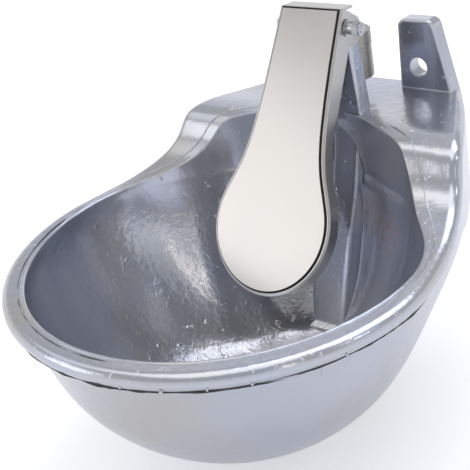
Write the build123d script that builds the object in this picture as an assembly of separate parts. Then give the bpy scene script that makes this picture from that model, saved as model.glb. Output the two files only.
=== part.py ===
"""Livestock drinking bowl with a pressing tongue.

Frame: millimetres. The origin is the centre between the two wall bolt holes on
the wall plane (y = 0). The bowl stands out from the wall along -Y, +Z is up.
Heights inside this file are given from the plane of the rim and moved by RIM_Z.
"""
import os
from math import cos, pi, radians, sin, sqrt

from build123d import *

os.makedirs("parts", exist_ok=True)

# ---------------------------------------------------------------- dimensions
RIM_Z = -53.0            # rim plane, seen from the wall bolt line
HALF_W = 125.5           # half width over the rim
WIDEST_Y = -170.0        # where the bowl is widest
FRONT_LEN = 119.6        # from there to the front of the rim
REAR_HALF_W = 59.0       # half width of the back against the wall
BEAD_LOW, BEAD_TOP = -1.5, 4.0
DECK_Z = 38.7
DEPTH = 110.0
CAV_HALF_W, CAV_WIDEST_Y, CAV_FRONT = 113.5, -163.0, 114.5
CAV_DEPTH = 104.5

EAR_T = 9.8
EAR_HOLE_X, EAR_HOLE_Z, EAR_HOLE_R = 36.5, 53.0, 6.0
EAR_TOP = 82.8

TOWER_FRONT, TOWER_REAR = -55.3, -44.5
HINGE_Y, HINGE_Z = -58.3, 93.6
BOSS_R, BOSS_HALF = 5.6, 18.8
BOLT_R = 2.5

TONGUE_TILT = 31.3       # degrees from the vertical at rest
SHEET = 1.5
TONGUE_TOP = (-60.0, 105.4)
TONGUE_LEN = 170.0
TONGUE_HALF_W = 22.2
DISC_R = 41.3
FLANGE_LEN, FLANGE_W = 69.0, 13.0
FLANGE_FLARE = 1.7       # degrees, the strap widens downwards

VALVE_Z = 61.0
BARREL_Y, BARREL_R = -27.7, 13.5
BARREL_LOW, BARREL_TOP, COLLAR_LOW = 51.0, 80.3, 71.0
LIP = 9.0                # depth of the turned edge round the tongue
BUSH_R = 3.4
SPIGOT_R, SPIGOT_END, SPOT_Y = 8.0, -60.5, -55.2
PAD_Y = -42.8
CART_R, SEAT_Y, GAP = 6.0, -41.0, 0.3
STEM_R, STEM_TIP, BALL_Y = 2.5, -81.5, -79.6
FLOW_R, FLOW_Z = 3.0, 57.5
STEP_Z, THREAD_LOW = 67.6, 70.0   # strainer seat and lower end of the inlet thread


def up(z):
    return RIM_Z + z


def save(shape, name):
    shape.label = name
    export_step(shape, "parts/" + name + ".step")


def cyl_y(r, y0, y1, z, x=0.0):
    """Cylinder along Y from y0 to y1."""
    c = Cylinder(r, abs(y1 - y0))
    return Pos(x, (y0 + y1) / 2, z) * Rot(90, 0, 0) * c


def cyl_x(r, x0, x1, y, z):
    c = Cylinder(r, abs(x1 - x0))
    return Pos((x0 + x1) / 2, y, z) * Rot(0, 90, 0) * c


def cyl_z(r, z0, z1, x, y):
    return Pos(x, y, (z0 + z1) / 2) * Cylinder(r, abs(z1 - z0))


def hex_y(af, y0, y1, z, x=0.0):
    s = Pos(x, y0, z) * Rot(-90, 0, 0) * extrude(RegularPolygon(af / sqrt(3), 6), y1 - y0)
    return s


def hex_x(af, x0, x1, y, z):
    return Pos(x0, y, z) * Rot(0, 90, 0) * extrude(RegularPolygon(af / sqrt(3), 6), x1 - x0)


# ------------------------------------------------------------- bowl outlines
def fade(y):
    """1 along the free rim, 0 along the flanks under the deck."""
    return 1.0 / (1.0 + 2.718281828 ** ((y + 104.0) / 7.0))


def outline_points(scale, inset, rear, n=8):
    """Half outline from the wall round the side to the front centre."""
    pts = []
    for i in range(n):
        dy = 170.0 * (1 - i / n)
        x = REAR_HALF_W + (HALF_W - REAR_HALF_W) * (1 - (dy / 170.0) ** 1.6) ** 0.95
        pts.append((x, WIDEST_Y + dy))
    for i in range(n + 1):
        t = (pi / 2) * (1 - i / n)
        pts.append((HALF_W * sin(t), WIDEST_Y - FRONT_LEN * cos(t)))
    out = []
    for x, y in pts:
        k = scale * (1 - inset * fade(y))
        out.append((x * k, -168.0 + (y + 168.0) * (k if y < -168.0 else k * rear)))
    return out


def closed_outline(scale, inset, z, rear=1.0):
    half = outline_points(scale, inset, rear)
    left = [(-x, y) for x, y in reversed(half[:-1])]
    pts = [(x, y, z) for x, y in half + left]
    curve = Spline(*pts)
    back = Line(pts[-1], pts[0])
    return Face(Wire([curve, back]))


def lower_body():
    """Outer shape below the rim bead."""
    levels = [(-6.4, 0.998, 0.055, 1.0), (-24.0, 0.950, 0.052, 1.0), (-44.0, 0.872, 0.022, 1.01),
              (-62.0, 0.781, 0.0, 1.03), (-78.0, 0.678, 0.0, 1.07), (-91.0, 0.558, 0.0, 1.15),
              (-101.0, 0.420, 0.0, 1.29), (-107.5, 0.260, 0.0, 1.5), (-DEPTH, 0.110, 0.0, 1.9)]
    return Solid.make_loft([closed_outline(s, i, up(z), r).outer_wire() for z, s, i, r in levels])


def bead_underside():
    """Turned-in lower side of the rim bead."""
    rows = [(BEAD_LOW, 0.0), (-4.0, 0.010), (-5.6, 0.026), (-6.4, 0.045), (-6.6, 0.056)]
    return Solid.make_loft([closed_outline(1.0, i, up(z)).outer_wire() for z, i in rows], True)


def shoulder_profile(drop=0.0):
    """Side view of rim and shoulders, as a face in the YZ plane."""
    low = up(BEAD_LOW)
    rows = [(8.0, DECK_Z), (-20.0, DECK_Z), (-48.0, DECK_Z), (-68.0, DECK_Z - 0.2), (-80.5, 33.6), (-87.0, 24.0),
            (-95.0, 15.6), (-108.0, 9.6), (-122.0, 6.2), (-140.0, 4.5), (-165.0, BEAD_TOP), (-230.0, BEAD_TOP),
            (-310.0, BEAD_TOP)]
    pts = [(0, y, up(z)) for y, z in rows]
    edges = [Spline(*pts),
             Line(pts[-1], (0, -310.0, low)),
             Line((0, -310.0, low), (0, 8.0, low)),
             Line((0, 8.0, low), pts[0])]
    return Face(Wire(edges))


def upper_body():
    slab = extrude(closed_outline(1.0, 0.0, up(BEAD_LOW)), DECK_Z - BEAD_LOW + 1, dir=(0, 0, 1))
    side = extrude(Pos(-140, 0, 0) * shoulder_profile(), 280, dir=(1, 0, 0))
    return slab & side


# ------------------------------------------------------------------- cavity
def cavity_points(s, rear):
    """Half outline of the water space from the rear centre to the front."""
    arch = [(0.0, -56.5), (12.0, -56.7), (24.0, -59.4), (44.0, -69.8), (61.0, -78.0), (72.0, -87.0),
            (88.0, -107.0), (101.0, -122.5), (110.0, -140.0)]
    pts = [(x * s, CAV_WIDEST_Y + (y - CAV_WIDEST_Y) * rear) for x, y in arch]
    for i in range(7):
        t = (pi / 2) * (1 - i / 6)
        pts.append((CAV_HALF_W * s * sin(t), CAV_WIDEST_Y - CAV_FRONT * s * cos(t)))
    return pts


def cavity_face(s, rear, z):
    half = cavity_points(s, rear)
    left = [(-x, y) for x, y in reversed(half[1:-1])]
    pts = [(x, y, z) for x, y in half + left]
    return Face(Wire([Spline(*pts, periodic=True)]))


def cavity():
    levels = [(1.0, 1.0, 1.0), (-14.0, 0.985, 0.985), (-32.0, 0.930, 0.958),
              (-50.0, 0.850, 0.915), (-66.0, 0.755, 0.870), (-80.0, 0.645, 0.810),
              (-91.0, 0.520, 0.755), (-99.0, 0.370, 0.690), (-CAV_DEPTH, 0.130, 0.420)]
    low = Solid.make_loft([cavity_face(s, r, up(z)).outer_wire() for z, s, r in levels])
    mouth = extrude(cavity_face(1.0, 1.0, up(1.0)), DECK_Z + 10, dir=(0, 0, 1))
    return mouth + low


def column():
    """Rib behind the tongue that brings the water down to the floor."""
    rows = [(DECK_Z - 7.0, -56.0, 19.5), (5.0, -61.2, 18.0), (-27.0, -69.5, 16.0),
            (-52.0, -76.0, 14.0), (-82.5, -84.5, 12.4), (-96.2, -87.8, 11.2)]
    wires = []
    for z, yf, hw in rows:
        pts = [(hw, yf), (hw + 8, yf + 15), (hw + 8, -30), (-hw - 8, -30), (-hw - 8, yf + 15), (-hw, yf)]
        wires.append(Wire(Polyline([(x, y, up(z)) for x, y in pts], close=True)))
    rib = Solid.make_loft(wires)
    front = rib.edges().filter_by(lambda e: e.length > 80 and e.center().Y < -62)
    foot = [(-70.0, -94.0), (-85.4, -94.0), (-87.6, -96.0), (-92.2, -98.4), (-92.6, -101.5), (-70.0, -101.5)]
    shoe = Face(Wire(Polyline([(0, y, up(z)) for y, z in foot], close=True)))
    return fillet(front, 4.0) + extrude(shoe, 11.0, dir=(1, 0, 0), both=True)


def rear_pocket():
    """Hollow behind the bowl, open to the wall and downwards."""
    rows = [(DECK_Z - 6.0, [(53, 2), (69, -30), (62, -62), (48, -61), (24, -48.5)]),
            (-20.0, [(50, 2), (62, -30), (56, -58), (42, -60), (20, -53.0)]),
            (-52.0, [(38, 2), (44, -30), (38, -54), (24, -56), (12, -57.0)]),
            (-78.0, [(22, 2), (24, -40), (20, -62), (12, -64), (6, -64.5)])]
    wires = []
    for z, half in rows:
        pts = half + [(-x, y) for x, y in reversed(half)]
        wires.append(Wire(Polyline([(x, y, up(z)) for x, y in pts], close=True)))
    return Solid.make_loft(wires, True)


# ---------------------------------------------------------- lugs on the deck
def tower():
    """Upright lug for hinge and valve."""
    rows = [(DECK_Z - 4, -56.8, 23.0), (DECK_Z + 10, -56.2, 22.2), (89.0, TOWER_FRONT, 19.0)]
    wires = []
    for z, yf, hw in rows:
        pts = [(hw, yf), (hw, TOWER_REAR), (-hw, TOWER_REAR), (-hw, yf)]
        wires.append(Wire(Polyline([(x, y, up(z)) for x, y in pts], close=True)))
    body = Solid.make_loft(wires, True)
    body = fillet(body.edges().filter_by(lambda e: abs(e.center().Z - up(64)) < 30
                                         and e.length > 20 and abs(e.tangent_at(0).Z) > 0.9), 1.6)
    head = Polyline([(0, TOWER_FRONT + 0.0, up(80)), (0, HINGE_Y - 2.4, up(HINGE_Z - 5.0)),
                     (0, HINGE_Y, up(HINGE_Z + BOSS_R)), (0, HINGE_Y + 6, up(HINGE_Z + BOSS_R)),
                     (0, TOWER_REAR, up(90)), (0, TOWER_REAR, up(80))], close=True)
    cap = extrude(Face(Wire(head)), BOSS_HALF, dir=(1, 0, 0), both=True)
    boss = cyl_x(BOSS_R, -BOSS_HALF, BOSS_HALF, HINGE_Y, up(HINGE_Z))
    return body + cap + boss


def ear():
    """Wall ear on the right-hand side."""
    pts = [(22.0, DECK_Z - 6), (24.3, EAR_TOP), (48.5, EAR_TOP), (59.5, DECK_Z - 6)]
    plate = Face(Wire(Polyline([(x, 0, up(z)) for x, z in pts], close=True)))
    body = extrude(plate, EAR_T, dir=(0, -1, 0))
    tops = body.edges().filter_by(Axis.Y).sort_by(Axis.Z)[-2:]
    body = fillet(tops, 5.0)
    rim = body.faces().sort_by(Axis.Y)[0].edges().filter_by(lambda e: e.center().Z > up(DECK_Z))
    body = fillet(rim, 1.6)
    return body


def outlet_channel():
    """Way from the valve down the column, leaving on its left side low in the bowl."""
    drop = cyl_z(3.6, up(33), up(VALVE_Z), 0, -50.0)
    slope = Solid.make_loft([Wire.make_circle(4.0, Plane((0, -50.0, up(36)))),
                             Wire.make_circle(4.0, Plane((0, -73.5, up(-65))))])
    return drop + slope + cyl_x(3.2, -26.0, 0, -72.4, up(-60.5))


def bowl_casting():
    top = upper_body()
    roll = top.edges().filter_by(lambda e: e.length > 300 and e.center().Z > up(3))
    outer = lower_body() + bead_underside() + fillet(roll, 5.0)
    body = outer - cavity()
    body = body + (column() & outer)
    body = body - rear_pocket()
    body = body + tower() + ear() + mirror(ear(), Plane.YZ)
    for x in (-EAR_HOLE_X, EAR_HOLE_X):
        body = body - cyl_y(EAR_HOLE_R, -EAR_T - 1, 1, up(EAR_HOLE_Z), x)
    body = body - cyl_x(BUSH_R, -BOSS_HALF - 1, BOSS_HALF + 1, HINGE_Y, up(HINGE_Z))
    body = body - cyl_y(SPIGOT_R, -62, -40, up(VALVE_Z))
    body = body - cyl_y(13.5, -62, SPOT_Y, up(VALVE_Z))
    body = body - outlet_channel()
    return body


# ------------------------------------------------------------------- tongue
def tongue_plane():
    t = radians(TONGUE_TILT)
    top = (0, TONGUE_TOP[0], up(TONGUE_TOP[1]))
    return Plane(origin=top, x_dir=(1, 0, 0), z_dir=(0, -cos(t), sin(t)))


def tongue_contour(inset=0.0):
    """Spoon outline, top edge at 0, running down along local -Y."""
    w = TONGUE_HALF_W - inset
    r = DISC_R - inset
    cy = -(TONGUE_LEN - DISC_R)
    a = radians(14.5)
    end = (r * cos(a), cy + r * sin(a))
    side = [(w, 0), (w + 1.3, -35.0), (w + 3.4, -65.0), (w + 9.4, -96.0), end]
    tang = (sin(a), -cos(a))
    right = Spline(*side, tangents=[(0.03, -1), tang])
    bottom = ThreePointArc(end, (0, cy - r), (-end[0], end[1]))
    left = Spline(*[(-x, y) for x, y in reversed(side)], tangents=[(tang[0], -tang[1]), (0.03, 1)])
    top = Line((-w, 0), (w, 0))
    return Face(Wire([right, bottom, left, top]))


def side_flange():
    """Right flange with the hinge tab, drawn in (depth, along) of the tongue."""
    pts = [(0.7, -0.3), (13.4, -0.3), (13.4, -18.4), (12.8, -18.4), (12.8, -FLANGE_LEN), (0.7, -FLANGE_LEN)]
    strip = Face(Wire(Polyline([(-0.12, y, -w) for w, y in pts], close=True)))
    plate = extrude(strip, SHEET, dir=(-1, 0, 0))
    tab = Pos(-SHEET / 2 - 0.12, -9.35, -13.4) * Rot(0, 90, 0) * Cylinder(9.05, SHEET)
    body = plate + tab
    return Pos(TONGUE_HALF_W, 0, 0) * Rot(0, 0, FLANGE_FLARE) * body


def tongue():
    shell = extrude(tongue_contour(), LIP, dir=(0, 0, -1))
    front = shell.edges().filter_by(lambda e: abs(e.center().Z) < 0.01 and e.center().Y < -1)
    shell = fillet(front, 1.2)
    hollow = Pos(0, 0, -SHEET) * extrude(tongue_contour(1.4), LIP, dir=(0, 0, -1))
    shell = shell - hollow
    right = side_flange()
    left = mirror(right, Plane.YZ)
    a = radians(25.0)
    tip = (11.2 * sin(a), -11.2 * cos(a))
    fold = [(-3.0, -0.15), (-0.2, -0.15), tip,
            (tip[0] - SHEET * cos(a), tip[1] - SHEET * sin(a)), (-1.6, -1.35), (-3.0, -1.35)]
    face = Face(Wire(Polyline([(0, y, z) for y, z in fold], close=True)))
    top = extrude(face, TONGUE_HALF_W - 1.0, dir=(1, 0, 0), both=True)
    body = shell + right + left + top
    body = tongue_plane().location * body
    return body - cyl_x(BOLT_R + 0.08, -40, 40, HINGE_Y, up(HINGE_Z))


# -------------------------------------------------------------------- hinge
def ring_x(r_out, r_in, x0, x1):
    return cyl_x(r_out, x0, x1, HINGE_Y, up(HINGE_Z)) - cyl_x(r_in, x0 - 1, x1 + 1, HINGE_Y, up(HINGE_Z))


def pair(shape):
    return Compound(children=[shape, mirror(shape, Plane.YZ)])


def hinge_bolt():
    """M5 bolt put in from the left, where its low round head fits behind the tongue's edge."""
    shank = cyl_x(BOLT_R, -24.0, 33.0, HINGE_Y, up(HINGE_Z))
    head = cyl_x(4.3, -26.3, -23.65, HINGE_Y, up(HINGE_Z))
    head = fillet(head.faces().sort_by(Axis.X)[0].edges(), 1.8)
    slot = Pos(-26.3, HINGE_Y, up(HINGE_Z)) * Box(2.0, 1.0, 10.0)
    tip = shank.faces().sort_by(Axis.X)[-1].edges()
    return chamfer(tip, 0.6) + head - slot


def hinge_nut():
    body = hex_x(8.0, 27.8, 31.6, HINGE_Y, up(HINGE_Z))
    crown = cyl_x(3.6, 31.6, 32.3, HINGE_Y, up(HINGE_Z))
    return body + crown - cyl_x(BOLT_R, 20, 40, HINGE_Y, up(HINGE_Z))


def hinge_washers():
    return pair(ring_x(5.0, BOLT_R, 22.85, 23.65))


def hinge_collar():
    return ring_x(3.7, BOLT_R, 23.65, 27.8)


def hinge_bushes():
    sleeve = ring_x(BUSH_R, BOLT_R, 9.0, BOSS_HALF)
    flange = ring_x(BOSS_R, BOLT_R, BOSS_HALF, BOSS_HALF + 1.6)
    return pair(sleeve + flange)


# -------------------------------------------------------------------- valve
def ring_y(r_out, r_in, y0, y1):
    return cyl_y(r_out, y0, y1, up(VALVE_Z)) - cyl_y(r_in, y0 - 1, y1 + 1, up(VALVE_Z))


def valve_body():
    barrel = cyl_z(BARREL_R, up(BARREL_LOW), up(BARREL_TOP), 0, BARREL_Y)
    collar = cyl_z(BARREL_R + 0.4, up(COLLAR_LOW), up(BARREL_TOP), 0, BARREL_Y)
    ends = collar.faces().sort_by(Axis.Z)
    collar = chamfer(ends[-1].edges() + ends[0].edges(), 0.35)
    pad = cyl_y(9.6, PAD_Y, BARREL_Y, up(VALVE_Z))
    spigot = cyl_y(SPIGOT_R, SPIGOT_END, BARREL_Y, up(VALVE_Z))
    body = barrel + collar + pad + spigot
    body = body - cyl_z(9.3, up(THREAD_LOW), up(BARREL_TOP) + 1, 0, BARREL_Y)
    body = body - cyl_z(8.9, up(STEP_Z), up(THREAD_LOW) + 0.5, 0, BARREL_Y)
    body = body - Pos(0, BARREL_Y, up(BARREL_TOP) - 0.65) * Cone(9.3, 10.6, 1.3)
    body = body - cyl_z(6.6, up(54.0), up(STEP_Z) + 1, 0, BARREL_Y)
    body = body - cyl_y(CART_R, SPIGOT_END - 1, BARREL_Y, up(VALVE_Z))
    body = body - cyl_z(3.0, up(VALVE_Z - 10), up(VALVE_Z), 0, -50.0)
    body = body - cyl_x(FLOW_R, -14.5, -3.0, BARREL_Y, up(FLOW_Z))
    return body


def valve_gasket():
    return ring_y(10.0, SPIGOT_R, TOWER_REAR, PAD_Y)


def valve_lock_nut():
    nut = hex_y(21.0, SPOT_Y - 4.0, SPOT_Y, up(VALVE_Z))
    return nut - cyl_y(SPIGOT_R, -70, -50, up(VALVE_Z))


def valve_cartridge():
    """Screwed-in insert with seat, stem guide and outlet ports."""
    z = up(VALVE_Z)
    head = hex_y(13.0, SPIGOT_END - 3.0, SPIGOT_END, z)
    body = cyl_y(CART_R, SPIGOT_END, -43.0, z) + cyl_y(5.3, -43.0, SEAT_Y, z)
    part = head + body
    part = part - cyl_y(STEM_R + 0.06, -70, -40, z)
    part = part - cyl_y(3.8, -53.6, SEAT_Y + 1, z)
    part = part - ring_y(3.9, 1.0, -56.6, -54.8)
    part = part - ring_y(CART_R + 1, 4.7, -59.4, -57.6)
    part = part - cyl_z(2.6, z - 10, z, 0, -50.0)
    return part


def cartridge_o_ring():
    return Pos(0, -58.5, up(VALVE_Z)) * Rot(90, 0, 0) * Torus(5.35, 0.65)


def stem_o_ring():
    return Pos(0, -55.7, up(VALVE_Z)) * Rot(90, 0, 0) * Torus(3.23, 0.66)


def spring_cage():
    cup = ring_y(5.95, 5.3, -43.0, -26.0) + ring_y(5.95, 2.2, -26.0, -25.0)
    slot = Pos(0, -32.5, up(VALVE_Z)) * Box(3.4, 9.0, 14.0)
    cross = Pos(0, -32.5, up(VALVE_Z)) * Box(14.0, 9.0, 3.4)
    return cup - slot - cross


def valve_stem():
    z = up(VALVE_Z)
    rod = cyl_y(STEM_R, STEM_TIP, -36.0, z)
    shoulder = cyl_y(3.3, SEAT_Y - 2.0, SEAT_Y + GAP, z)
    return rod + shoulder


def stem_cap():
    z = up(VALVE_Z)
    ball = Pos(0, BALL_Y, z) * Sphere(4.5)
    skirt = cyl_y(4.5, BALL_Y, BALL_Y + 5.0, z)
    return ball + skirt - cyl_y(STEM_R, STEM_TIP, -60, z)


def valve_seal():
    return ring_y(4.9, STEM_R, SEAT_Y + GAP, SEAT_Y + GAP + 2.2)


def seal_washer():
    return ring_y(4.7, STEM_R, SEAT_Y + GAP + 2.2, SEAT_Y + GAP + 3.0)


def seal_clip():
    ring = ring_y(3.5, STEM_R, SEAT_Y + GAP + 3.0, SEAT_Y + GAP + 3.8)
    return ring - Pos(0, -37, up(VALVE_Z) - 3.0) * Box(2.4, 4.0, 4.0)


def valve_spring():
    y0 = SEAT_Y + GAP + 3.0
    y1 = -26.0
    wire = 0.42
    h = y1 - y0 - 2 * wire
    coil = Helix(pitch=h / 4.5, height=h, radius=4.15)
    start = coil @ 0
    prof = Plane(origin=start, z_dir=coil % 0) * Circle(wire)
    body = sweep(prof, path=coil)
    return Pos(0, y0 + wire, up(VALVE_Z)) * Rot(-90, 0, 0) * body


def inlet_strainer():
    """Round sieve resting on the step in the socket."""
    z = up(STEP_Z)
    disc = cyl_z(8.8, z, z + 0.8, 0, BARREL_Y)
    rim = cyl_z(8.8, z, z + 2.0, 0, BARREL_Y) - cyl_z(7.9, z - 1, z + 4, 0, BARREL_Y)
    holes = [Pos(x, BARREL_Y + y, z) * Cylinder(0.8, 4)
             for x in (-4.4, -2.2, 0, 2.2, 4.4) for y in (-4.4, -2.2, 0, 2.2, 4.4)
             if x * x + y * y < 32]
    return disc + rim - holes


def flow_screw():
    """Regulating screw reaching into the water way from the left."""
    z = up(FLOW_Z)
    rod = cyl_x(FLOW_R - 0.05, -13.0, -6.5, BARREL_Y, z)
    head = cyl_x(4.0, -16.4, -14.2, BARREL_Y, z)
    neck = cyl_x(1.8, -14.4, -12.8, BARREL_Y, z)
    slot = Pos(-16.4, BARREL_Y, z) * Box(1.6, 9, 1.1)
    return rod + neck + head - slot


PARTS = [bowl_casting, tongue, hinge_bolt, hinge_nut, hinge_washers, hinge_collar, hinge_bushes,
         valve_body, valve_gasket, valve_lock_nut, valve_cartridge, cartridge_o_ring, stem_o_ring,
         spring_cage, valve_stem, stem_cap, valve_seal, seal_washer, seal_clip, valve_spring,
         inlet_strainer, flow_screw]

if __name__ == "__main__":
    for make in PARTS:
        save(make(), make.__name__)
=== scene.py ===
"""Looks of a cast livestock drinking bowl with a pressing tongue."""
import math
import random

import bmesh
import bpy
from bpy.props import FloatProperty, FloatVectorProperty, PointerProperty
from mathutils import Matrix, Vector
from mathutils.bvhtree import BVHTree


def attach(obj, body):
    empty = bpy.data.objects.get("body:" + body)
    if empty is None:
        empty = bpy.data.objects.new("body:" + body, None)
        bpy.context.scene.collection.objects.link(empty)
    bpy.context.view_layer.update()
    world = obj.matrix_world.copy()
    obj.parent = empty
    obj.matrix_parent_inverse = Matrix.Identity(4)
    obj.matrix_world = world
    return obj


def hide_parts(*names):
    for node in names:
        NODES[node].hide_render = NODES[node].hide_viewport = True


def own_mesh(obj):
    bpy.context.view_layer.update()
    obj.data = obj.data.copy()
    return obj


bl_info = {
    "name": "Livestock drinking bowl",
    "version": (1, 0, 0),
    "blender": (4, 5, 0),
    "location": "View3D > Sidebar > Drinking bowl",
    "description": "Dresses a cast drinking bowl: finishes, seams, tongue face, thread and studio",
    "category": "Object",
}

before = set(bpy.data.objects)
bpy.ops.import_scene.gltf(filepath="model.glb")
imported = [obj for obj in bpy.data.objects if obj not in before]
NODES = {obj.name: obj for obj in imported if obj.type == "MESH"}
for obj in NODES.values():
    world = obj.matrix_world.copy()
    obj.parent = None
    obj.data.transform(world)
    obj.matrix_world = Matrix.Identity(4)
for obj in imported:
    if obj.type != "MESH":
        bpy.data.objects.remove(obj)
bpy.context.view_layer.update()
CASTING = NODES["bowl_casting"]
TONGUE = NODES["tongue"]

# all lengths are in metres
RIM = -0.053                                    # z of the plane through the rim bead
BOWL_MIDDLE = -0.168                            # y of the middle of the bowl
WELD = 1e-6                                     # corners nearer than this are one
TONGUE_FRONT = Vector((0, -0.85446, 0.51952))   # the way that the tongue's flat face looks
FACES_FRONT = 0.9998                            # cosine of the flat face's greatest tilt
PLATE_EDGE = 0.00018                            # bevel round the face plate
GAP_LIFT = 0.00004                              # of the ring of painted shadow in the gap, over the sheet below it
INLET_FOOT = (0, -0.0277, RIM + 0.0685)         # middle of the thread's lowest turn
THREAD_RADIUS, THREAD_PITCH, THREAD_TURNS = 0.00925, 0.001814, 6
THREAD_THICKNESS = 0.00045
STAIN_AND_REFLECTION = (0.038, -0.071, -0.076)                 # warm patch on the back wall: a water stain with a painted reflection of the tongue's back

# x and y of the seam along the right shoulder, from the deck round to the rim
SHOULDER_PLAN = ((0.045, -0.0630), (0.0560, -0.0680), (0.0655, -0.0725), (0.0770, -0.0829),
                 (0.0930, -0.1029), (0.1060, -0.1184), (0.1130, -0.1340), (0.1165, -0.1520),
                 (0.1170, -0.1720), (0.1145, -0.2000))
# a short raised mark down the outside of the wall
CASTING_MARK = ((0.1030, -0.2226, -0.0630), (0.1022, -0.2221, -0.0670),
                (0.1008, -0.2213, -0.0705), (0.0993, -0.2204, -0.0735))
# place, radius and height over width of each blob of zinc
DRIPS = ((-0.0150, -0.2850, -0.0545, 0.00077, 1.3), (0.0180, -0.2862, -0.0555, 0.00070, 1.4),
         (0.0330, -0.2846, -0.0560, 0.00084, 1.2), (0.0530, -0.2780, -0.0565, 0.00105, 1.3),
         (0.0720, -0.2672, -0.0562, 0.00070, 1.6), (0.0880, -0.2542, -0.0565, 0.00084, 1.2),
         (0.1150, -0.2172, -0.0560, 0.00070, 1.4), (0.1070, -0.1215, -0.0470, 0.00126, 0.7))

# name, place, size, watts and colour of each lamp
LAMPS = (
    ("overhead_softbox", (-0.15, -0.35, 1.5), (1.35, 1.2), 5.6, "#fffaf2"),
    ("front_left_softbox", (-1.38, -1.66, 0.64), (0.95, 1.05), 3.6, "#fffefc"),
    ("upper_left_softbox", (-1.1, -0.45, 1.15), (0.8, 0.7), 0.9, "#ffffff"),
    ("right_strip", (1.10, -0.80, 0.62), (0.07, 0.62), 0.42, "#fff1de"),
    ("right_window", (1.35, 0.15, 1.15), (0.3, 0.3), 1.0, "#f2f6ff"),
    ("back_left_softbox", (-1.3, 1.5, 0.9), (1.2, 1.0), 1.1, "#f2f5ff"),
    ("back_top_softbox", (0.06, 0.65, 1.45), (1.3, 0.9), 8.5, "#eef2ff"),
)
LAMP_AIM = Vector((0, -0.15, -0.05))
FLOOR_REACH = 8.0
ROOM_LIGHT = 0.85                               # strength of the room's light on the part
CAMERA_PLACE = (0.3728, -0.5395, 0.2282)
CAMERA_BACK = Vector((0.6089, -0.6688, 0.4266))     # from the part towards the camera
CAMERA_RIGHT = Vector((0.7776, 0.6094, -0.1546))    # the right of its picture
CAMERA_SENSOR, CAMERA_LENS = 36.0, 82.42        # in millimetres
CAMERA_SHIFT = (-0.0535, -0.0963)               # shares of the picture's width


# ------------------------------------------------------------------ helpers
def linear(code):
    """sRGB hex to the linear RGBA that the shaders take."""
    rgb = [int(code[i:i + 2], 16) / 255 for i in (1, 3, 5)]
    return [c / 12.92 if c <= 0.04045 else ((c + 0.055) / 1.055) ** 2.4 for c in rgb] + [1.0]


def shade(colour, share):
    """The colour, darkened to a share of its light."""
    return [channel * share for channel in colour[:3]] + [1.0]


def colour_property(name, code, description):
    return FloatVectorProperty(name=name, description=description, subtype="COLOR", size=4,
                               min=0.0, max=1.0, default=linear(code))


def length_property(name, metres, description):
    return FloatProperty(name=name, description=description, unit="LENGTH", min=0.0,
                         max=1.0, precision=5, default=metres)


def per_metre(millimetres):
    """Scale of a pattern whose waves have this size."""
    return 1000 / millimetres


def add_node(tree, kind, values=None, stops=(), **settings):
    """Adds a node with its settings, links and, for a colour ramp, its stops.

    A value is a number, a colour or a socket to link, and a stop is a place with a grey or a
    linear colour."""
    node = tree.nodes.new(kind)
    for key, setting in settings.items():
        setattr(node, key, setting)
    for key, value in (values or {}).items():
        if isinstance(value, bpy.types.NodeSocket):
            tree.links.new(value, node.inputs[key])
        else:
            node.inputs[key].default_value = value
    if stops:
        elements = node.color_ramp.elements
        while len(elements) < len(stops):
            elements.new(0.5)
        for element, (place, colour) in zip(elements, stops):
            grey = isinstance(colour, (int, float))
            element.position = place
            element.color = (colour, colour, colour, 1) if grey else colour[:]
    return node


def shown_to_the_eye(tree, path):
    """1 for what the camera sees straight, in a mirror or through glass, and 0 for light."""
    straight = add_node(tree, "ShaderNodeMath", {
        0: path.outputs["Is Camera Ray"], 1: path.outputs["Is Transmission Ray"]},
        operation="MAXIMUM")
    return add_node(tree, "ShaderNodeMath", {
        0: straight.outputs[0], 1: path.outputs["Is Glossy Ray"]}, operation="MAXIMUM").outputs[0]


def new_material(name):
    """An empty material and its node tree."""
    material = bpy.data.materials.get(name) or bpy.data.materials.new(name)
    material.use_nodes = True
    material.node_tree.nodes.clear()
    return material, material.node_tree


def finish_material(tree, values):
    """Closes a material with the shader that takes the values."""
    shader = add_node(tree, "ShaderNodeBsdfPrincipled", values)
    add_node(tree, "ShaderNodeOutputMaterial", {"Surface": shader.outputs["BSDF"]})


def dress(material, *names):
    """Gives solids of the frame their finish."""
    for name in names:
        mesh = NODES[name].data
        mesh.materials.clear()
        mesh.materials.append(material)


def add_piece(name, mesh, material, body="housing"):
    """Adds a piece that rides on a body and takes the given finish."""
    mesh.materials.clear()
    mesh.materials.append(material)
    piece = bpy.data.objects.new(name, mesh)
    bpy.context.scene.collection.objects.link(piece)
    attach(piece, body)
    return piece


def mesh_from_shape(shape, name):
    """Turns a bmesh into a mesh and frees it."""
    mesh = bpy.data.meshes.new(name)
    shape.to_mesh(mesh)
    shape.free()
    return mesh


def mesh_from_curve(curve):
    """Turns a curve into a mesh and takes the curve away."""
    carrier = bpy.data.objects.new(curve.name, curve)
    bpy.context.scene.collection.objects.link(carrier)
    depsgraph = bpy.context.evaluated_depsgraph_get()
    mesh = bpy.data.meshes.new_from_object(carrier.evaluated_get(depsgraph))
    bpy.data.objects.remove(carrier)
    bpy.data.curves.remove(curve)
    return mesh


def welded_shape(node):
    """A solid of the frame as a bmesh, with its split corners joined."""
    shape = bmesh.new()
    shape.from_mesh(node.data)
    bmesh.ops.remove_doubles(shape, verts=shape.verts, dist=WELD)
    return shape


def largest_face(shape):
    return max(shape.faces, key=lambda face: face.calc_area())


def delete_faces(shape, doomed):
    """Deletes the faces that a test picks."""
    bmesh.ops.delete(shape, geom=[face for face in shape.faces if doomed(face)], context="FACES")


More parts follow.
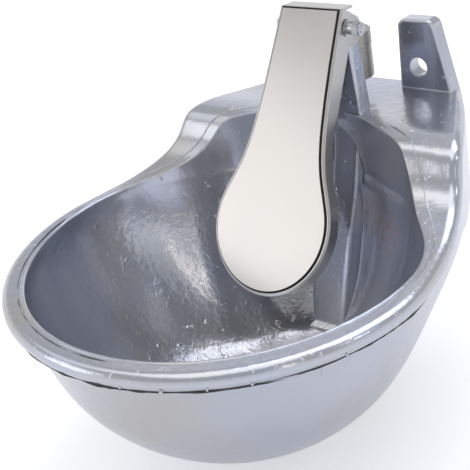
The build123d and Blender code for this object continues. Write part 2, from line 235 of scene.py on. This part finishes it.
def bead(name, points, thickness, material, uneven, seed=1):
    """A round bead of uneven thickness along points, thin at both ends."""
    rng = random.Random(seed)
    curve = bpy.data.curves.new(name, "CURVE")
    curve.dimensions = "3D"
    curve.bevel_depth = thickness
    curve.bevel_resolution = 2
    curve.use_fill_caps = True
    line = curve.splines.new("POLY")
    line.points.add(len(points) - 1)
    swell = [rng.uniform(1 - uneven, 1 + uneven) for _ in range(len(points))]
    for i, (knot, place) in enumerate(zip(line.points, points)):
        near = swell[max(i - 1, 0):i + 2]
        taper = min(1.0, 0.25 + 0.25 * min(i, len(points) - 1 - i))
        knot.co = (*place, 1)
        knot.radius = taper * sum(near) / len(near)
    mesh = mesh_from_curve(curve)
    mesh.name = name
    for face in mesh.polygons:
        face.use_smooth = True
    return add_piece(name, mesh, material)


def casting_outline(height, back, inner=False, steps=220, span=5, stray=0.0025):
    """The casting's outer or inner edge at a height, in front of y = back, left to right."""
    shape = bmesh.new()
    shape.from_mesh(CASTING.data)
    cut = bmesh.ops.bisect_plane(shape, geom=shape.verts[:] + shape.edges[:] + shape.faces[:],
                                 plane_co=(0, 0, height), plane_no=(0, 0, 1))
    middle = Vector((0, BOWL_MIDDLE, height))
    found = {}
    for vert in cut["geom_cut"]:
        if isinstance(vert, bmesh.types.BMVert):
            arm = vert.co - middle
            way = round(math.atan2(arm.x, -arm.y) / math.tau * steps)
            reach = -arm.length if inner else arm.length
            if way not in found or reach > found[way][0]:
                found[way] = (reach, vert.co.copy())
    shape.free()
    line = [found[way] for way in sorted(found)]
    # a corner far off the middle reach of its neighbours is on the other edge, and is left out
    kept = []
    for i, (reach, place) in enumerate(line):
        near = sorted(other[0] for other in line[max(i - span, 0):i + span + 1])
        if place.y < back and abs(reach - near[len(near) // 2]) < stray:
            kept.append(place)
    return kept


def outwards(points, distance, span=4):
    """The points moved square to their line, away from the bowl's middle."""
    moved = []
    for i, place in enumerate(points):
        along = points[min(i + span, len(points) - 1)] - points[max(i - span, 0)]
        side = Vector((along.y, -along.x, 0)).normalized()
        if side.dot(place - Vector((0, BOWL_MIDDLE, place.z))) < 0:
            side = -side
        moved.append(place + side * distance)
    return moved


def at_height(points, height):
    """The points, all moved to one height."""
    return [Vector((place.x, place.y, height)) for place in points]


def rounded_plan(points, cuts=8):
    """Rounded line through few plan points, as a list of many."""
    curve = bpy.data.curves.new("plan", "CURVE")
    curve.dimensions = "3D"
    curve.resolution_u = cuts
    line = curve.splines.new("NURBS")
    line.points.add(len(points) - 1)
    for knot, (x, y) in zip(line.points, points):
        knot.co = (x, y, 0, 1)
    line.order_u = 4
    line.use_endpoint_u = True
    mesh = mesh_from_curve(curve)
    found = [vert.co.copy() for vert in mesh.vertices]
    bpy.data.meshes.remove(mesh)
    return found


def laid_on_casting(plan, side):
    """The rounded plan laid on the casting from above; side is -1 for the left."""
    surface = BVHTree.FromPolygons([vert.co for vert in CASTING.data.vertices],
                                   [face.vertices for face in CASTING.data.polygons])
    above, down = 0.1, Vector((0, 0, -1))
    hits = [surface.ray_cast(Vector((side * place.x, place.y, above)), down)[0]
            for place in rounded_plan(plan)]
    return [hit for hit in hits if hit]


def tongue_face(lip_width, gap_width):
    """The tongue's flat front inside a bright lip: the plate, with the gap as a ring round it.

    The plate lies half a gap to the left, so that the gap is wider on the right."""
    shape = welded_shape(TONGUE)
    shape.normal_update()
    delete_faces(shape, lambda face: face.normal.dot(TONGUE_FRONT) < FACES_FRONT)
    bmesh.ops.dissolve_limit(shape, angle_limit=0.02, verts=shape.verts, edges=shape.edges,
                             use_dissolve_boundaries=False)
    flat = largest_face(shape)
    delete_faces(shape, lambda face: face is not flat)
    lip = bmesh.ops.inset_region(shape, faces=[flat], thickness=lip_width, depth=0.0,
                                 use_boundary=True, use_even_offset=True)["faces"]
    bmesh.ops.delete(shape, geom=lip, context="FACES")
    bmesh.ops.inset_region(shape, faces=[flat], thickness=gap_width, depth=0.0,
                           use_boundary=True, use_even_offset=True)
    plate = largest_face(shape)
    bmesh.ops.translate(shape, vec=(-gap_width * 0.5, 0, 0), verts=list(plate.verts))
    return shape


def raise_plate(shape, height):
    """Leaves only the plate in the shape, and gives it its thickness and a small bevel."""
    plate = largest_face(shape)
    delete_faces(shape, lambda face: face is not plate)
    walls = bmesh.ops.extrude_face_region(shape, geom=[plate])
    raised = [item for item in walls["geom"] if isinstance(item, bmesh.types.BMVert)]
    bmesh.ops.translate(shape, vec=TONGUE_FRONT * height, verts=raised)
    top = max((face for face in shape.faces if face.normal.dot(TONGUE_FRONT) > 0.9),
              key=lambda face: face.calc_center_median().dot(TONGUE_FRONT))
    bmesh.ops.bevel(shape, geom=list(top.edges), offset=PLATE_EDGE, offset_type="OFFSET",
                    segments=2, profile=0.5, affect="EDGES", material=-1)
    bmesh.ops.recalc_face_normals(shape, faces=shape.faces)


def helix(foot, radius, pitch, turns, steps=36):
    """Points of a thread that climbs from its foot."""
    x, y, z = foot
    return [(x + radius * math.cos(math.tau * i / steps),
             y + radius * math.sin(math.tau * i / steps),
             z + pitch * i / steps) for i in range(turns * steps)]


# ---------------------------------------------------------------- materials
def galvanised_iron(settings):
    """Grey iron hot-dip galvanised: the zinc ran down the casting and froze in soft waves.

    Gives a broad satin sheen with small sharp glints, lavender-grey with faint warm clouds."""
    material, tree = new_material("hot_dip_galvanised_iron")
    place = add_node(tree, "ShaderNodeTexCoord").outputs["Object"]
    # clouds where the zinc is thicker, bluer and smoother
    clouds = add_node(tree, "ShaderNodeTexNoise", {
        "Vector": place, "Scale": per_metre(62.5), "Detail": 3.0}).outputs["Fac"]
    tint = add_node(tree, "ShaderNodeValToRGB", {"Fac": clouds}, stops=(
        (0.30, linear("#c4c3c3")), (0.48, settings.zinc_colour), (0.68, linear("#c0c6d6"))))
    rough = add_node(tree, "ShaderNodeValToRGB", {"Fac": clouds},
                     stops=((0.3, 0.24), (0.7, 0.17)))
    # sparse dark pinholes, a third as wide as the waves they are cut from
    pits = add_node(tree, "ShaderNodeTexNoise", {
        "Vector": place, "Scale": per_metre(3.03), "Detail": 1.0})
    specks = add_node(tree, "ShaderNodeValToRGB", {"Fac": pits.outputs["Fac"]},
                      stops=((0.17, 0.5), (0.2, 1.0))).outputs["Color"]
    zinc = add_node(tree, "ShaderNodeMix", {
        "Factor": 1.0, "A": tint.outputs["Color"], "B": specks},
        data_type="RGBA", blend_type="MULTIPLY")
    # warm patch on the back wall beside the column: partly a stain where water runs down, partly a
    # painted reflection of the tongue's back
    away = add_node(tree, "ShaderNodeVectorMath", {0: place, 1: STAIN_AND_REFLECTION}, operation="DISTANCE")
    near = add_node(tree, "ShaderNodeValToRGB", {"Fac": away.outputs["Value"]},
                    stops=((0.005, 1.0), (0.026, 0.0)))
    speckle = add_node(tree, "ShaderNodeTexNoise", {
        "Vector": place, "Scale": per_metre(3.85), "Detail": 4.0, "Roughness": 0.7})
    patchy = add_node(tree, "ShaderNodeValToRGB", {"Fac": speckle.outputs["Fac"]},
                      stops=((0.42, 0.0), (0.60, 0.9)))
    stain_and_reflection = add_node(tree, "ShaderNodeMath", {
        0: near.outputs["Color"], 1: patchy.outputs["Color"]}, operation="MULTIPLY")
    base = add_node(tree, "ShaderNodeMix", {
        "Factor": stain_and_reflection.outputs[0], "A": zinc.outputs["Result"], "B": linear("#c9a98c")},
        data_type="RGBA")
    # cast edges are never sharp: the zinc fills them to a radius of 1.5 mm
    rounded = add_node(tree, "ShaderNodeBevel", {"Radius": 0.0015}, samples=5)
    # waves of the zinc skin, drawn out downwards
    runs = add_node(tree, "ShaderNodeMapping", {"Vector": place, "Scale": (1, 1, 0.45)})
    waves = add_node(tree, "ShaderNodeTexNoise", {
        "Vector": runs.outputs["Vector"], "Scale": 1 / settings.wave_size, "Detail": 2.0})
    wavy = add_node(tree, "ShaderNodeBump", {
        "Height": waves.outputs["Fac"], "Strength": 0.09, "Distance": 0.002,
        "Normal": rounded.outputs["Normal"]})
    # the skin is wrinkled in the bowl, where it cooled last, and smoother above the rim
    height = add_node(tree, "ShaderNodeSeparateXYZ", {0: place}).outputs["Z"]
    in_the_bowl = add_node(tree, "ShaderNodeMapRange", {
        "Value": height, "From Min": RIM - 0.003, "From Max": RIM - 0.015,
        "To Min": 0.1, "To Max": 0.36})
    ripple = add_node(tree, "ShaderNodeTexNoise", {
        "Vector": place, "Scale": per_metre(3.226), "Detail": 2.0, "Distortion": 0.6})
    wrinkled = add_node(tree, "ShaderNodeBump", {
        "Height": ripple.outputs["Fac"], "Strength": in_the_bowl.outputs["Result"],
        "Distance": 0.0005, "Normal": wavy.outputs["Normal"]})
    pitted = add_node(tree, "ShaderNodeBump", {
        "Height": specks, "Strength": 0.25, "Distance": 0.0003,
        "Normal": wrinkled.outputs["Normal"]})
    # frozen drops and dross of 2 to 3 mm that stand proud and catch the light
    dross = add_node(tree, "ShaderNodeTexNoise", {
        "Vector": place, "Scale": per_metre(6.67), "Detail": 2.0, "Roughness": 0.6})
    lumps = add_node(tree, "ShaderNodeValToRGB", {"Fac": dross.outputs["Fac"]},
                     stops=((0.66, 0.0), (0.72, 1.0)))
    skin = add_node(tree, "ShaderNodeBump", {
        "Height": lumps.outputs["Color"], "Strength": 0.5, "Distance": 0.0004,
        "Normal": pitted.outputs["Normal"]}).outputs["Normal"]
    finish_material(tree, {
        "Base Color": base.outputs["Result"], "Metallic": 0.86,
        "Roughness": rough.outputs["Color"], "Normal": skin,
        "Coat Weight": 0.4, "Coat Roughness": 0.08, "Coat Normal": skin})
    return material


def satin_stainless(name, colour, roughness, metal):
    """Cold-rolled stainless sheet with a satin mill finish: pale, with soft wide reflections."""
    material, tree = new_material(name)
    place = add_node(tree, "ShaderNodeTexCoord").outputs["Object"]
    cloud = add_node(tree, "ShaderNodeTexNoise", {
        "Vector": place, "Scale": per_metre(45.5), "Detail": 3.0}).outputs["Fac"]
    tint = add_node(tree, "ShaderNodeValToRGB", {"Fac": cloud},
                    stops=((0.3, shade(colour, 0.95)), (0.7, colour)))
    dull = add_node(tree, "ShaderNodeValToRGB", {"Fac": cloud},
                    stops=((0.35, roughness), (0.65, roughness + 0.04)))
    # rolling marks run down the sheet; real ones are too fine to show, so they are drawn coarser
    lines = add_node(tree, "ShaderNodeMapping", {"Vector": place, "Scale": (1, 0.03, 0.03)})
    rolled = add_node(tree, "ShaderNodeTexNoise", {
        "Vector": lines.outputs["Vector"], "Scale": per_metre(0.5556), "Detail": 2.0})
    marks = add_node(tree, "ShaderNodeBump", {
        "Height": rolled.outputs["Fac"], "Strength": 0.02, "Distance": 0.0002})
    finish_material(tree, {
        "Base Color": tint.outputs["Color"], "Metallic": metal,
        "Roughness": dull.outputs["Color"], "Normal": marks.outputs["Normal"]})
    return material


def turned_metal(name, colour, roughness):
    """Turned or rolled metal of small parts: bright, with a fine grain darker in its hollows."""
    material, tree = new_material(name)
    place = add_node(tree, "ShaderNodeTexCoord").outputs["Object"]
    # real turning marks are 0.1 mm apart, too fine to show, so they are drawn coarser
    grain = add_node(tree, "ShaderNodeTexNoise", {
        "Vector": place, "Scale": per_metre(1.667), "Detail": 4.0}).outputs["Fac"]
    tint = add_node(tree, "ShaderNodeValToRGB", {"Fac": grain},
                    stops=((0.3, shade(colour, 0.85)), (0.6, colour)))
    rough = add_node(tree, "ShaderNodeValToRGB", {"Fac": grain},
                     stops=((0.3, roughness - 0.06), (0.7, roughness + 0.08)))
    marks = add_node(tree, "ShaderNodeBump", {
        "Height": grain, "Strength": 0.08, "Distance": 0.0003})
    finish_material(tree, {
        "Base Color": tint.outputs["Color"], "Metallic": 1.0,
        "Roughness": rough.outputs["Color"], "Normal": marks.outputs["Normal"]})
    return material


def moulded(name, colour, roughness):
    """Moulded rubber or acetal: even and dull, with the very fine grain of an eroded mould."""
    material, tree = new_material(name)
    place = add_node(tree, "ShaderNodeTexCoord").outputs["Object"]
    # a real eroded grain is under 0.1 mm, too fine to show, so it is drawn coarser
    grain = add_node(tree, "ShaderNodeTexNoise", {
        "Vector": place, "Scale": per_metre(0.6667), "Detail": 2.0}).outputs["Fac"]
    tint = add_node(tree, "ShaderNodeValToRGB", {"Fac": grain},
                    stops=((0.35, shade(colour, 0.8)), (0.65, colour)))
    rough = add_node(tree, "ShaderNodeValToRGB", {"Fac": grain},
                     stops=((0.3, roughness - 0.08), (0.7, roughness + 0.08)))
    marks = add_node(tree, "ShaderNodeBump", {
        "Height": grain, "Strength": 0.1, "Distance": 0.0001})
    finish_material(tree, {
        "Base Color": tint.outputs["Color"], "Roughness": rough.outputs["Color"],
        "Normal": marks.outputs["Normal"]})
    return material


# ----------------------------------------------------------------- settings
class DrinkerCasting(bpy.types.PropertyGroup):
    zinc_colour: colour_property("Zinc colour", "#c4c7d1", "Main colour of the zinc skin")
    wave_size: length_property("Wave size", 0.007, "Width of the soft waves in the zinc")
    seam_height: length_property("Seam height", 0.0006, "Half thickness of the mould seams")
    # a dark grey that paints the shadow in the rim's grooves and creases
    groove_shadow_colour: colour_property("Groove shadow colour", "#3b3a3c", "Colour in the rim bead's grooves")


class DrinkerTongue(bpy.types.PropertyGroup):
    steel_colour: colour_property("Steel colour", "#cfccca", "Colour of the tongue's face plate")
    lip_width: length_property("Lip width", 0.0005, "Width of the bright bend outside the gap")
    gap_width: length_property("Gap width", 0.00105, "Width of the dark gap round the plate")
    plate_height: length_property("Plate height", 0.0004, "Thickness of the face plate")


class DrinkerStudio(bpy.types.PropertyGroup):
    floor_height: length_property("Floor distance", 0.175, "From the floor up to the bolt line")
    floor_colour: colour_property("Floor colour", "#e9e9ea", "Colour of the studio floor")


# ------------------------------------------------------------------- pieces
class DRINKER_OT_casting(bpy.types.Operator):
    """Give the casting its galvanised skin"""
    bl_idname = "drinker.casting"
    bl_label = "Galvanised casting"

    def execute(self, context):
        dress(galvanised_iron(context.scene.drinker_casting), "bowl_casting")
        return {"FINISHED"}


class DRINKER_OT_seams(bpy.types.Operator):
    """Lay the mould seams, grooves and drips of the rim and the shoulders"""
    bl_idname = "drinker.seams"
    bl_label = "Mould seams"

    def execute(self, context):
        settings = context.scene.drinker_casting
        zinc = bpy.data.materials["hot_dip_galvanised_iron"]
        # the grooves, the lower seam and the hair line on top get a near-black finish: painted
        # shadow in the creases of the rim
        groove_shadow = moulded("painted_groove_shadow", settings.groove_shadow_colour, 0.7)
        # the groove under the rim bead is wider at the front
        groove = casting_outline(RIM - 0.0048, back=-0.15)
        front_groove = [place for place in groove if place.y < -0.245 and place.x > -0.05]
        # the rolled inner edge of the rim, half sunk in the casting
        inner = casting_outline(RIM + 0.0028, back=-0.118, inner=True)
        inner_bead = at_height(outwards(inner, 0.0011), RIM + 0.0034)
        # a hair line on top of the rim, from the left shoulder round to the front
        top_seam = [place for place in outwards(inner, 0.0037) if place.x < 0.03]
        # name, points, share of the seam's height, finish, unevenness and seed of each bead
        for name, points, share, material, uneven, seed in (
                ("rim_seam", casting_outline(RIM - 0.0062, back=-0.1), 1.8, zinc, 0.7, 3),
                ("rim_seam_lower", casting_outline(RIM - 0.0096, back=-0.12), 0.6, groove_shadow, 0.9, 5),
                ("rim_groove", groove, 1.1, groove_shadow, 0.95, 8),
                ("rim_groove_front", front_groove, 1.6, groove_shadow, 0.95, 9),
                ("rim_inner_bead", inner_bead, 2.1, zinc, 0.12, 21),
                ("rim_top_seam", at_height(top_seam, RIM + 0.0040), 0.5, groove_shadow, 0.95, 23),
                ("shoulder_seam_right", laid_on_casting(SHOULDER_PLAN, 1), 0.8, zinc, 0.4, 11),
                ("shoulder_seam_left", laid_on_casting(SHOULDER_PLAN, -1), 0.8, zinc, 0.4, 11)):
            bead(name, points, settings.seam_height * share, material,
                 uneven, seed)
        # blobs where the zinc dripped off the bead and froze, and the lump at the seam's end
        shape = bmesh.new()
        for x, y, z, radius, tall in DRIPS:
            turn = Matrix.Translation((x, y, z)) @ Matrix.Diagonal((1, 1, tall, 1))
            bmesh.ops.create_icosphere(shape, subdivisions=3, radius=radius, matrix=turn)
        for face in shape.faces:
            face.smooth = True
        add_piece("zinc_drips", mesh_from_shape(shape, "zinc_drips"), zinc)
        bead("casting_mark", CASTING_MARK, settings.seam_height * 1.5, zinc,
             uneven=0.3, seed=31)
        return {"FINISHED"}


class DRINKER_OT_tongue(bpy.types.Operator):
    """Dress the tongue and lay its flat face plate with a ring of painted shadow in the gap round
    it
    """
    bl_idname = "drinker.tongue"
    bl_label = "Pressing tongue"

    def execute(self, context):
        settings = context.scene.drinker_tongue
        dress(satin_stainless("satin_stainless_pan", linear("#c6c5c4"), 0.28, 1.0), "tongue")
        steel = satin_stainless("satin_stainless_face", settings.steel_colour, 0.23, 0.85)
        # the ring in the gap is near-black: painted shadow where the gap between plate and pan
        # lies in shade
        dark = moulded("painted_gap_shadow", linear("#08080a"), 0.8)
        plate = tongue_face(settings.lip_width, settings.gap_width)
        gap = plate.copy()
        raise_plate(plate, settings.plate_height)
        add_piece("tongue_face_plate", mesh_from_shape(plate, "tongue_face_plate"), steel,
                  "tongue")
        bmesh.ops.delete(gap, geom=[largest_face(gap)], context="FACES")
        bmesh.ops.translate(gap, vec=TONGUE_FRONT * GAP_LIFT, verts=gap.verts)
        add_piece("tongue_face_gap_shadow", mesh_from_shape(gap, "tongue_face_gap_shadow"), dark,
                  "tongue")
        return {"FINISHED"}


class DRINKER_OT_hinge(bpy.types.Operator):
    """Finish the hinge bolt, nut, washers, collar and bushes"""
    bl_idname = "drinker.hinge"
    bl_label = "Tongue hinge"

    def execute(self, context):
        dress(turned_metal("bright_zinc_plate", linear("#c3c5c8"), 0.26),
              "hinge_bolt", "hinge_nut", "hinge_washers", "hinge_collar")
        dress(moulded("black_acetal", linear("#242426"), 0.45), "hinge_bushes")
        return {"FINISHED"}


class DRINKER_OT_valve(bpy.types.Operator):
    """Finish the valve, cut the inlet thread and put a welded copy of the spring's coil in its
    place
    """
    bl_idname = "drinker.valve"
    bl_label = "Water valve"

    def execute(self, context):
        nickel = turned_metal("nickel_plated_brass", linear("#a8a5a0"), 0.34)
        dress(nickel, "valve_body", "valve_lock_nut", "valve_cartridge")
        stainless = turned_metal("turned_stainless", linear("#bcbcbc"), 0.28)
        dress(stainless, "valve_stem", "seal_washer", "seal_clip", "valve_spring",
              "inlet_strainer", "flow_screw")
        dress(moulded("nitrile_rubber", linear("#1d1d1d"), 0.6),
              "valve_gasket", "cartridge_o_ring", "stem_o_ring", "valve_seal")
        dress(moulded("white_acetal", linear("#d8d6cf"), 0.4), "stem_cap", "spring_cage")
        thread = helix(INLET_FOOT, THREAD_RADIUS, THREAD_PITCH, THREAD_TURNS)
        bead("inlet_thread", thread, THREAD_THICKNESS, nickel, uneven=0.0)
        # the pushed stem shortens the real spring from 11.7 mm to 7.7 mm, against its fixed end;
        # here a welded copy of its coil stands in its place and is not shortened
        coil = mesh_from_shape(welded_shape(NODES["valve_spring"]), "valve_spring_coil")
        spring = add_piece("valve_spring_coil", coil, stainless)
        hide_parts("valve_spring")
        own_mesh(spring)
        return {"FINISHED"}


# ------------------------------------------------------------------- studio
def lay_floor(scene, settings):
    """Lays a matt floor that also glows white, but only to the eye."""
    shape = bmesh.new()
    bmesh.ops.create_grid(shape, x_segments=1, y_segments=1, size=FLOOR_REACH)
    bmesh.ops.translate(shape, vec=(0, 0, -settings.floor_height), verts=shape.verts)
    floor = bpy.data.objects.new("floor", mesh_from_shape(shape, "floor"))
    scene.collection.objects.link(floor)
    material, tree = new_material("pale_floor")
    path = add_node(tree, "ShaderNodeLightPath")
    matt = add_node(tree, "ShaderNodeBsdfDiffuse", {"Color": settings.floor_colour})
    # a little more for the background itself than for its reflection
    glow = add_node(tree, "ShaderNodeMath", {0: path.outputs["Is Camera Ray"], 1: 0.2, 2: 0.22},
                    operation="MULTIPLY_ADD")
    white = add_node(tree, "ShaderNodeEmission", {
        "Color": (1, 1, 1, 1), "Strength": glow.outputs[0]})
    both = add_node(tree, "ShaderNodeAddShader", {0: matt.outputs[0], 1: white.outputs[0]})
    mix = add_node(tree, "ShaderNodeMixShader", {
        0: shown_to_the_eye(tree, path), 1: matt.outputs[0], 2: both.outputs[0]})
    add_node(tree, "ShaderNodeOutputMaterial", {"Surface": mix.outputs[0]})
    floor.data.materials.append(material)


def paint_world(scene):
    """Paints a room that gives even light, and to the eye is white low down and grey above."""
    world = bpy.data.worlds.new("studio")
    scene.world = world
    world.use_nodes = True
    tree = world.node_tree
    tree.nodes.clear()
    path = add_node(tree, "ShaderNodeLightPath")
    room = add_node(tree, "ShaderNodeBackground", {"Color": linear("#d3d5da"),
                                                   "Strength": ROOM_LIGHT})
    ray = add_node(tree, "ShaderNodeTexCoord").outputs["Generated"]
    height = add_node(tree, "ShaderNodeSeparateXYZ", {0: ray}).outputs["Z"]
    grey = add_node(tree, "ShaderNodeValToRGB", {"Fac": height}, stops=((0.18, 0.95), (0.42, 0.5)))
    seen_room = add_node(tree, "ShaderNodeBackground", {
        "Color": grey.outputs["Color"], "Strength": 1.0})
    mix = add_node(tree, "ShaderNodeMixShader", {
        0: shown_to_the_eye(tree, path), 1: room.outputs[0], 2: seen_room.outputs[0]})
    add_node(tree, "ShaderNodeOutputWorld", {"Surface": mix.outputs[0]})


def hang_lamps(scene):
    """Hangs area lamps that all look at the part."""
    for name, place, size, watts, code in LAMPS:
        data = bpy.data.lights.new(name, "AREA")
        data.shape = "RECTANGLE"
        data.size, data.size_y = size
        data.energy = watts
        data.color = linear(code)[:3]
        lamp = bpy.data.objects.new(name, data)
        aim = (LAMP_AIM - Vector(place)).to_track_quat("-Z", "Y").to_matrix().to_4x4()
        lamp.matrix_world = Matrix.Translation(place) @ aim
        scene.collection.objects.link(lamp)


def set_camera(scene):
    """Sets the camera from its place and the two directions of its picture."""
    data = bpy.data.cameras.new("camera")
    data.sensor_width = CAMERA_SENSOR
    data.lens = CAMERA_LENS
    data.shift_x, data.shift_y = CAMERA_SHIFT
    data.clip_start = 0.01
    camera = bpy.data.objects.new("camera", data)
    back = CAMERA_BACK.normalized()
    up = back.cross(CAMERA_RIGHT).normalized()
    turn = Matrix((up.cross(back), up, back)).transposed().to_4x4()
    camera.matrix_world = Matrix.Translation(CAMERA_PLACE) @ turn
    scene.collection.objects.link(camera)
    scene.camera = camera


class DRINKER_OT_studio(bpy.types.Operator):
    """Set up the floor, the world, the lamps and the camera"""
    bl_idname = "drinker.studio"
    bl_label = "Studio"

    def execute(self, context):
        scene = context.scene
        scene.view_settings.view_transform = "Standard"
        lay_floor(scene, scene.drinker_studio)
        paint_world(scene)
        hang_lamps(scene)
        set_camera(scene)
        return {"FINISHED"}


class DRINKER_PT_panel(bpy.types.Panel):
    bl_label = "Drinking bowl"
    bl_idname = "DRINKER_PT_panel"
    bl_space_type = "VIEW_3D"
    bl_region_type = "UI"
    bl_category = "Drinking bowl"

    def draw(self, context):
        for operator in OPERATORS:
            self.layout.operator(operator.bl_idname)
        for group in GROUPS:
            for key in GROUPS[group].__annotations__:
                self.layout.prop(getattr(context.scene, group), key)


OPERATORS = (DRINKER_OT_casting, DRINKER_OT_seams, DRINKER_OT_tongue, DRINKER_OT_hinge,
             DRINKER_OT_valve, DRINKER_OT_studio)
GROUPS = {"drinker_casting": DrinkerCasting, "drinker_tongue": DrinkerTongue,
          "drinker_studio": DrinkerStudio}


def register():
    for group, settings in GROUPS.items():
        bpy.utils.register_class(settings)
        setattr(bpy.types.Scene, group, PointerProperty(type=settings))
    for operator in OPERATORS:
        bpy.utils.register_class(operator)
    bpy.utils.register_class(DRINKER_PT_panel)


def unregister():
    bpy.utils.unregister_class(DRINKER_PT_panel)
    for operator in reversed(OPERATORS):
        bpy.utils.unregister_class(operator)
    for group, settings in GROUPS.items():
        delattr(bpy.types.Scene, group)
        bpy.utils.unregister_class(settings)


def main():
    register()
    bpy.ops.drinker.casting()
    bpy.ops.drinker.seams()
    bpy.ops.drinker.tongue()
    bpy.ops.drinker.hinge()
    bpy.ops.drinker.valve()
    bpy.ops.drinker.studio()


if __name__ == "__main__":
    main()
